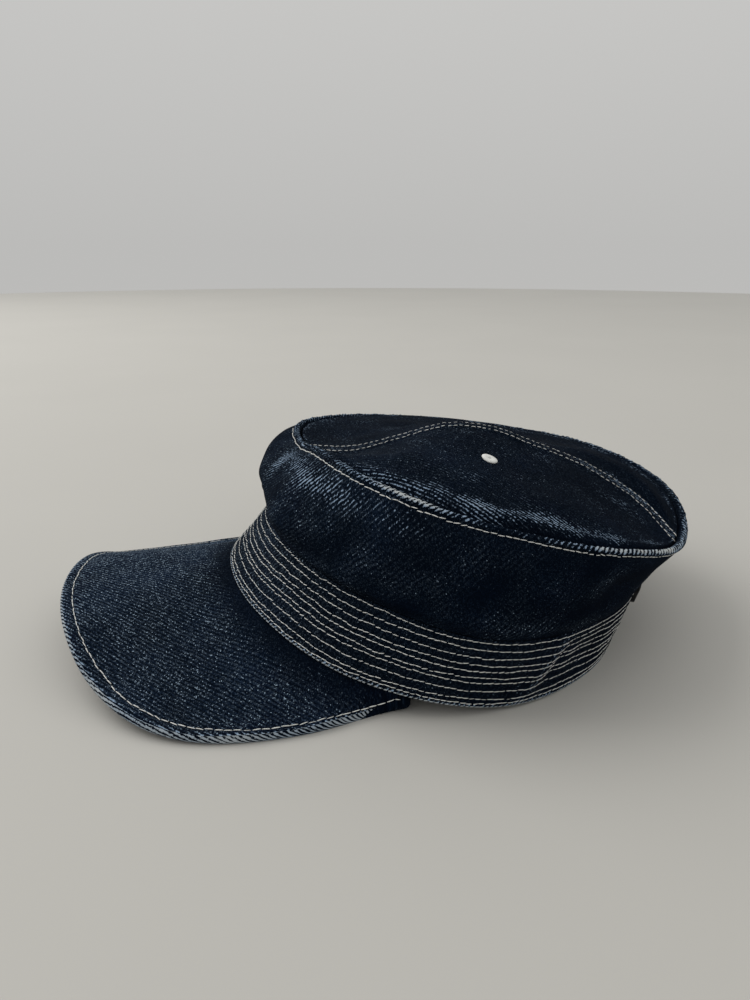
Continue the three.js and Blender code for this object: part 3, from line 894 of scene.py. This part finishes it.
class CAP_OT_crown_wall(Operator):
    """Make the side wall with its folds, front seam and raised edge"""
    bl_idname = "cap.crown_wall"
    bl_label = "Crown wall"

    def execute(self, context):
        deg = np.linspace(0, 360, 601)
        outer, inner = shares(0, 1, 56)[:-1], shares(0.93, 0, 16)
        place = np.linspace(0, len(RIDGE["inward"]) - 1, 15)
        inward, upward = (smooth(RIDGE[name], place)[:, None] for name in ("inward", "upward"))
        pucker = np.where(upward > 0, 1 + 0.16 * ring_ripple(21, deg, 2.2, count=5), 1)
        face, ridge = wall_point(deg, outer), edge_point(deg, inward, upward * pucker)
        points = np.vstack((face, ridge, wall_point(deg, inner, CLOTH), face[:1]))
        level = np.vstack((outer, 0 * inward + 1, inner, outer[:1]))
        crest = np.vstack((0 * outer, np.clip(upward / RIDGE_CREST, 0, 1), 0 * inner, 0 * outer[:1]))
        inside = np.vstack((0 * outer, 0 * inward, 0 * inner + 1, 0 * outer[:1]))

        wear = crest * (patches(RIDGE_WEAR, deg, level) + 0.08 * ring_ripple(61, deg, 9))
        wear = wear + patches(FRONT_WEAR, deg, level)
        belts = patches(BELT_WEAR, deg, level + 0.02 * ripple(62, deg / 8)) + patches(BACK_WEAR, deg, level)
        wear = wear + (belts + 0.05 * ring_ripple(63, deg, 20, level * 2)) * (1 - crest)
        wear = np.clip(wear, 0, 1) * (1 - inside)
        # Besides real fading, this paints light and shade: the wall is paler at its front, which faces the
        # lamp, and darkest on the side turned from it, as painted shade
        fade = patches(WALL_FADE_AND_SHADE, deg, level) + patches(BELT_FADE_AND_SHADE, deg, level) * lerp(0.55, 1, level)
        fade = fade + 0.1 * ring_ripple(67, deg, 11, level * 1.6)
        pattern = cloth_lengths(points) @ turn_grain(0.24)
        piece = add_sheet(
            "cap_crown_wall", points, pattern, close=True, wear=wear, fade=fade, inside=inside)
        settle(piece, "denim_wall", denim("denim_wall", context.scene.cap_looks), "crown_wall")
        return {"FINISHED"}


class CAP_OT_top(Operator):
    """Make the two halves of the top, with the left one lapped over the right along the seam"""
    bl_idname = "cap.top"
    bl_label = "Top"

    def execute(self, context):
        t = np.linspace(0.006, 0.994, 241)
        out = shares(0, 1, 91)
        back = ramp(t, 0.45, 0.2)
        finish = denim("denim_top", context.scene.cap_looks)
        for side, name, node in ((-1, "cap_top_right", "top_right"), (1, "cap_top_left", "top_left")):
            left = side > 0
            width, face = top_length(side, t), top_point(side, t, out)
            hem = edge_point(top_angle(side, t), RIDGE_WIDTH + EDGE_GAP + HEM["inward"][:, None],
                             -GROOVE_DEPTH - HEM["drop"][:, None])
            sheets, places = [face, hem], [out, np.ones((len(hem), 1))]
            if left:
                face[..., 2] += seam_rise(t, LAP_HEIGHT, LAP_PUCKER) * (1 - ramp(width * out, 3.4, 2.2))
                under = shares(SEAM_LAP, 0.4, 8)
                lap = top_point(-1, t, under / top_length(-1, t))
                lap[..., 2] += seam_rise(t, LAP_HEIGHT - 0.5 * bump(under - SEAM_LAP, 0.3), LAP_PUCKER)
                sheets, places = [lap] + sheets, [0 * under] + places
            points, place = np.vstack(sheets), np.vstack(places)

            # Rubbed along the roll beside the edge and along the seam; the groove is darkened as painted
            # shade, and the top is darker towards its back
            length, off = width * place, width * (1 - place)
            roll = bump(off - 3.0 - 5.4 * ramp(t, 0.42, 0.22), 4.8)
            roll = roll * (bump(t - 0.62, 0.29) if left else 0.45)
            strip = bump(length - 0.5, 3.4) * (0.1 + 0.24 * bump(t - 0.85, 0.2)) * (1.0 if left else 0.4)
            spot = bump(t - 0.72, 0.05) * bump(place - 0.28, 0.1) * left
            wear = 0.42 * roll + strip + 0.15 * spot + 0.085 * waves(64 + side, points, 22)
            wear = np.clip(wear - 0.6 * bump(off, 0.5 + 1.5 * back), 0, 1)
            fade = (0.35 if left else 0.32) - 0.26 * bump(off, 0.6 + 2.4 * back) - 0.16 * t

            # The flat pattern is the view from above, let out toward the edge by what the slopes take
            steps = np.diff(points, axis=0, prepend=points[:1])
            slack = (size_of(steps) - size_of(steps[..., :2])).cumsum(axis=0)
            outward = unit((edge_point(top_angle(side, t), 0, 0) - seam_point(t))[..., :2])
            pattern = (points[..., :2] + outward * slack[..., None]) @ turn_grain(0.06)
            if left:
                points, wear, fade, pattern = (part[:, ::-1] for part in (points, wear, fade, pattern))
            piece = add_sheet(name, points, pattern, wear=wear, fade=fade, inside=0)
            shown = len(piece.data.vertices)
            apply_modifier(piece, "SOLIDIFY", thickness=CLOTH / 2 * MM, offset=-1)
            inside = np.arange(len(piece.data.vertices)) >= shown
            piece.data.attributes["inside"].data.foreach_set("value", inside.astype(np.float32))
            settle(piece, "denim_top", finish, node)
        return {"FINISHED"}


class CAP_OT_peak(Operator):
    """Make the stiff peak with its rolled and rubbed edge"""
    bl_idname = "cap.peak"
    bl_label = "Peak"

    def execute(self, context):
        s = np.linspace(-1, 1, 301)
        edge, reach = peak_edge(s), peak_reach(s)
        outward = unit((edge - peak_point(s, 0.98))[..., :2])
        out = np.vstack((shares(0, 0.9, 50), shares(0.91, 0.985, 16)))
        face, off = peak_point(s, out), reach * (1 - out)
        face[..., 2] += 0.35 * bump(off - 2.6, 1.6) - 0.45 * bump(off - PEAK_ROW, 0.7)
        face[..., 2] += 0.25 * waves(41, face, 30) * np.minimum(1, 4 * out)
        turn = np.radians(shares(72, -90, 12))
        roll = np.repeat(edge[None], len(turn), axis=0)
        roll[..., :2] += outward * (np.cos(turn) - 1)[..., None] * 1.1
        roll[..., 2] += (np.sin(turn) - 1) * PEAK_THICKNESS / 2
        rolled = edge[:, :2] + outward * (turn[0] - turn)[..., None] * PEAK_THICKNESS / 2
        under = peak_point(s, shares(0.97, 0, 14))
        under[..., 2] -= PEAK_THICKNESS
        points = np.vstack((face, roll, under, face[:1]))
        pattern = np.vstack((face[..., :2], rolled, under[..., :2], face[:1, :, :2]))
        off = np.vstack((off, 0 * roll[..., 0], 0 * under[..., 0] + 12, off[:1]))
        wear = 0.6 * bump(off, 1.7) + 0.06 * bump(off - 8, 6)
        wear = wear + 0.22 * bump(s + 0.45, 0.4) * bump(off - 20, 30) + 0.05 * ripple(66, s * 6, off / 25)
        wear = np.clip(wear, 0, 1)
        # Painted light and shade: paler on the far half, which faces the lamp, and darker near the band, as
        # painted shade under the crown
        fade = 0.5 + 0.2 * bump(s + 0.4, 0.5) - 0.4 * bump(reach - off, 9)
        points, wear, fade, pattern = (part[:, ::-1] for part in (points, wear, fade, pattern))
        piece = add_sheet("cap_peak", points, pattern, close=True, wear=wear, fade=fade, inside=0)
        edit(bpy.ops.mesh.fill_holes, sides=0)
        settle(piece, "denim_peak", denim("denim_peak", context.scene.cap_looks), "peak")
        return {"FINISHED"}


class CAP_OT_stitches(Operator):
    """Sew the rows of the band, the edge, the seam of the top and the peak"""
    bl_idname = "cap.stitches"
    bl_label = "Stitches"

    def execute(self, context):
        looks = context.scene.cap_looks
        pitch = looks.stitch / MM
        thread = cotton_thread("cotton_thread", looks)
        deg = np.linspace(0, 360, 721)
        rows = []
        for k, place in enumerate(BAND_ROWS):
            up = place + 0.006 * ring_ripple(50 + k, deg, 40)
            path, above = band_point(deg, up), band_point(deg, up + 0.02)
            rows.append(add_stitches(
                "row", path, lifts_of(path, above), pitch, pitch * 1.05, BAND_STITCH_WIDTH, k, 0.11))
        up = np.linspace(0.06, 0.94, 40)
        for place in FRONT_ROWS:
            path, beside = band_point(place, up), band_point(place - 0.5, up)
            rows.append(add_stitches(
                "row", path, lifts_of(path, beside), pitch, pitch * 0.9, FRONT_STITCH_WIDTH, 70))
        settle(join("band_stitches", rows), "thread", thread)

        up = EDGE_ROW + 0.003 * ring_ripple(80, deg, 30)
        path, above = wall_point(deg, up), wall_point(deg, up + 0.02)
        row = add_stitches("edge_stitches", path, lifts_of(path, above), seed=81, slant=0.06, **EDGE_STITCH)
        settle(row, "thread", thread)

        rows = []
        t = np.linspace(0.012, 0.988, 301)
        lifts = np.tile((0.0, 0.0, 1.0), (len(t), 1))
        for side, seed in ((1, 90), (-1, 91)):
            away = SEAM_ROW * (1.25 - 0.35 * t) + 0.25 * ripple(seed, t * 9)
            path = top_point(side, t, away / top_length(side, t))
            path[..., 2] += seam_rise(t, 0.75, 0.1)
            rows.append(add_stitches("row", path, lifts, seed=seed, slant=0.1, **SEAM_STITCH))
        settle(join("seam_stitches", rows), "thread", thread)

        s = np.linspace(-0.985, 0.985, 401)
        out = 1 - (PEAK_ROW + 0.3 * ripple(95, s * 6)) / peak_reach(s)
        path, inner = peak_point(s, out), peak_point(s, out - 0.02)
        path[..., 2] -= 0.12
        row = add_stitches("peak_stitches", path, lifts_of(path, inner), seed=96, **PEAK_STITCH)
        settle(row, "thread", thread)
        return {"FINISHED"}


class CAP_OT_eyelets(Operator):
    """Work the two eyelets in the top with thread round a small hole"""
    bl_idname = "cap.eyelets"
    bl_label = "Eyelets"

    def execute(self, context):
        finish = cotton_thread("eyelet_thread", context.scene.cap_looks)
        along, out = EYELET_PLACE
        for side, name, node in (
                (1, "cap_eyelet_left", "eyelet_left"), (-1, "cap_eyelet_right", "eyelet_right")):
            centre, ahead, beside = (top_point(side, np.array([along + a]), out + b)[0]
                                     for a, b in ((0, 0), (0.01, 0), (0, 0.01)))
            ahead, beside = unit(ahead - centre), unit(beside - centre)
            lift = unit(np.cross(beside, ahead)) * side
            beside = np.cross(lift, ahead)
            piece, angle, off, height = add_ring(132, 14, EYELET_RADIUS, EYELET_TUBE)
            ribs = 1 + EYELET_RIB * np.cos(EYELET_RIBS * angle)
            away = EYELET_RADIUS + off * ribs * (1 + 0.05 * np.sin(3 * angle))
            points = (centre + lift * EYELET_LIFT
                      + ahead * (away * np.cos(angle))[:, None]
                      + beside * (away * np.sin(angle))[:, None]
                      + lift * (height * ribs * EYELET_FLAT)[:, None])
            write_points(piece.data, (points + SHIFT) * MM)
            bpy.ops.object.shade_smooth()
            piece.name = piece.data.name = name
            settle(piece, "thread", finish, node)
        return {"FINISHED"}


class CAP_OT_strap(Operator):
    """Make the strap across the back and its plain buckle"""
    bl_idname = "cap.strap"
    bl_label = "Strap and buckle"

    def execute(self, context):
        deg = np.linspace(STRAP["start"], STRAP["end"], 121)
        height = section("bandZ", deg)
        outline = STRAP_CORNER + [(STRAP["thickness"] - off, trim) for off, trim in STRAP_CORNER[::-1]]
        middle, half = (STRAP["low"] + STRAP["high"]) / 2, (STRAP["high"] - STRAP["low"]) / 2
        tip = np.sqrt(np.clip((deg - STRAP["start"]) / 3 + 0.15, 0, 1))
        rows = []
        for side in (-1, 1):
            for off, trim in outline[::-side]:
                level = middle + side * (half - trim) * tip
                radius = size_of(band_point(deg, level / height)[..., :2]) + GAP + off
                rows.append(at(deg, radius, level))
        rows.append(rows[0])
        points = np.stack(rows)
        piece = add_sheet("cap_back_strap", points, cloth_lengths(points), close=True)
        edit(bpy.ops.mesh.fill_holes, sides=0)
        edit(bpy.ops.mesh.normals_make_consistent, inside=False)
        bpy.ops.object.shade_smooth_by_angle(angle=math.radians(50))
        settle(piece, "strap_leather", black_leather(), "back_strap")

        # The buckle's ring is a wire bent to a rectangle with round corners, leaning as the band does
        low, high = (np.array(corner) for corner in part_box("strap_buckle"))
        centre = (low + high) / 2
        wide, tall = BUCKLE["wide"], BUCKLE["tall"]
        ring, angle, off, depth = add_ring(64, 12, wide, BUCKLE["wire"])
        cos, sin = np.cos(angle), np.sin(angle)
        bend = lambda value: np.sign(value) * np.abs(value) ** BUCKLE["corner"]
        outward = unit(np.stack((cos * tall, sin * wide), -1))
        x, y = wide * bend(cos) + outward[:, 0] * off, tall * bend(sin) + outward[:, 1] * off
        lean = math.atan2(*band_slope(180))
        points = np.stack((x, y * math.sin(lean) - depth * BUCKLE["flat"], y * math.cos(lean)), -1)
        write_points(ring.data, points * MM + centre)
        bpy.ops.object.shade_smooth()
        deselect()
        bpy.ops.mesh.primitive_cylinder_add(vertices=16, radius=PRONG["radius"], depth=PRONG["depth"])
        prong = bpy.context.object
        x, y, z = read_points(prong.data).T
        points = np.stack((z * PRONG["squeeze"] + PRONG["forward"], x + PRONG["back"], y), -1)
        write_points(prong.data, points * MM + centre)
        bpy.ops.object.shade_smooth_by_angle(angle=math.radians(40))
        buckle = join("cap_strap_buckle", [ring, prong])
        settle(buckle, "buckle_metal", grey_metal(), "strap_buckle")
        return {"FINISHED"}


class CAP_OT_stage(Operator):
    """Lay the pale floor and set the soft daylight and the camera"""
    bl_idname = "cap.stage"
    bl_label = "Stage"

    def execute(self, context):
        looks = context.scene.cap_stage
        deselect()
        bpy.ops.mesh.primitive_circle_add(vertices=128, radius=FLOOR_RADIUS, fill_type="NGON")
        floor = bpy.context.object
        floor.name = floor.data.name = "floor"
        finish = Finish(bpy.data.materials.new("pale_floor"))
        haze = finish.noise(finish.place(), 220.0)
        color = finish.blend(haze, tint(looks.floor, 0.97), tint(looks.floor, 1.03))
        floor.data.materials.append(finish.surface(color, Roughness=0.8))

        sky = Finish(bpy.data.worlds.new("sky"))
        place = sky.add("TexCoord").outputs["Generated"]
        level = sky.add("SeparateXYZ", None, {0: place}).outputs["Z"]
        grade = sky.add("MapRange", None, {
            "Value": level, "To Min": looks.sky, "To Max": looks.sky * SKY_TOP}).outputs[0]
        back = sky.add("Background", None, {"Color": tint(SKY_COLOR), "Strength": grade})
        sky.add("OutputWorld", None, {"Surface": back.outputs[0]})
        context.scene.world = sky.owner

        deselect()
        bpy.ops.object.light_add(type="AREA", location=LIGHT_PLACE)
        window = context.object
        window.name = "daylight"
        window.data.size = LIGHT_SIZE
        window.data.energy = looks.daylight
        window.data.color = LIGHT_COLOR
        window.rotation_euler = (-LIGHT_PLACE).to_track_quat("-Z", "Y").to_euler()

        deselect()
        bpy.ops.object.camera_add(
            location=(CAMERA_PLACE + SHIFT) * MM,
            rotation=(math.radians(90 - CAMERA_DOWN), 0, math.radians(CAMERA_TURN)))
        camera = context.object
        camera.data.lens = SENSOR * FOCAL_PIXELS / PICTURE_PIXELS
        camera.data.sensor_width = SENSOR
        camera.data.clip_start = 0.01
        context.scene.camera = camera
        context.scene.view_settings.view_transform = "Standard"
        return {"FINISHED"}


PIECES = (CAP_OT_band, CAP_OT_crown_wall, CAP_OT_top, CAP_OT_peak, CAP_OT_stitches, CAP_OT_eyelets,
          CAP_OT_strap, CAP_OT_stage)


class CAP_PT_sidebar(Panel):
    """Lists the pieces of the cap and their settings"""
    bl_idname = "CAP_PT_sidebar"
    bl_label = "Denim cap"
    bl_space_type = "VIEW_3D"
    bl_region_type = "UI"
    bl_category = "Cap"

    def draw(self, context):
        for group in (context.scene.cap_looks, context.scene.cap_stage):
            for name in group.bl_rna.properties.keys():
                if name not in ("rna_type", "name"):
                    self.layout.prop(group, name)
        for piece in PIECES:
            self.layout.operator(piece.bl_idname)


CLASSES = (CapLooks, StageLooks) + PIECES + (CAP_PT_sidebar,)


def register():
    for cls in CLASSES:
        bpy.utils.register_class(cls)
    bpy.types.Scene.cap_looks = PointerProperty(type=CapLooks)
    bpy.types.Scene.cap_stage = PointerProperty(type=StageLooks)


def unregister():
    del bpy.types.Scene.cap_looks
    del bpy.types.Scene.cap_stage
    for cls in reversed(CLASSES):
        bpy.utils.unregister_class(cls)


def main():
    register()
    bpy.ops.cap.band()
    bpy.ops.cap.crown_wall()
    bpy.ops.cap.top()
    bpy.ops.cap.peak()
    bpy.ops.cap.stitches()
    bpy.ops.cap.eyelets()
    bpy.ops.cap.strap()
    bpy.ops.cap.stage()


if __name__ == "__main__":
    main()
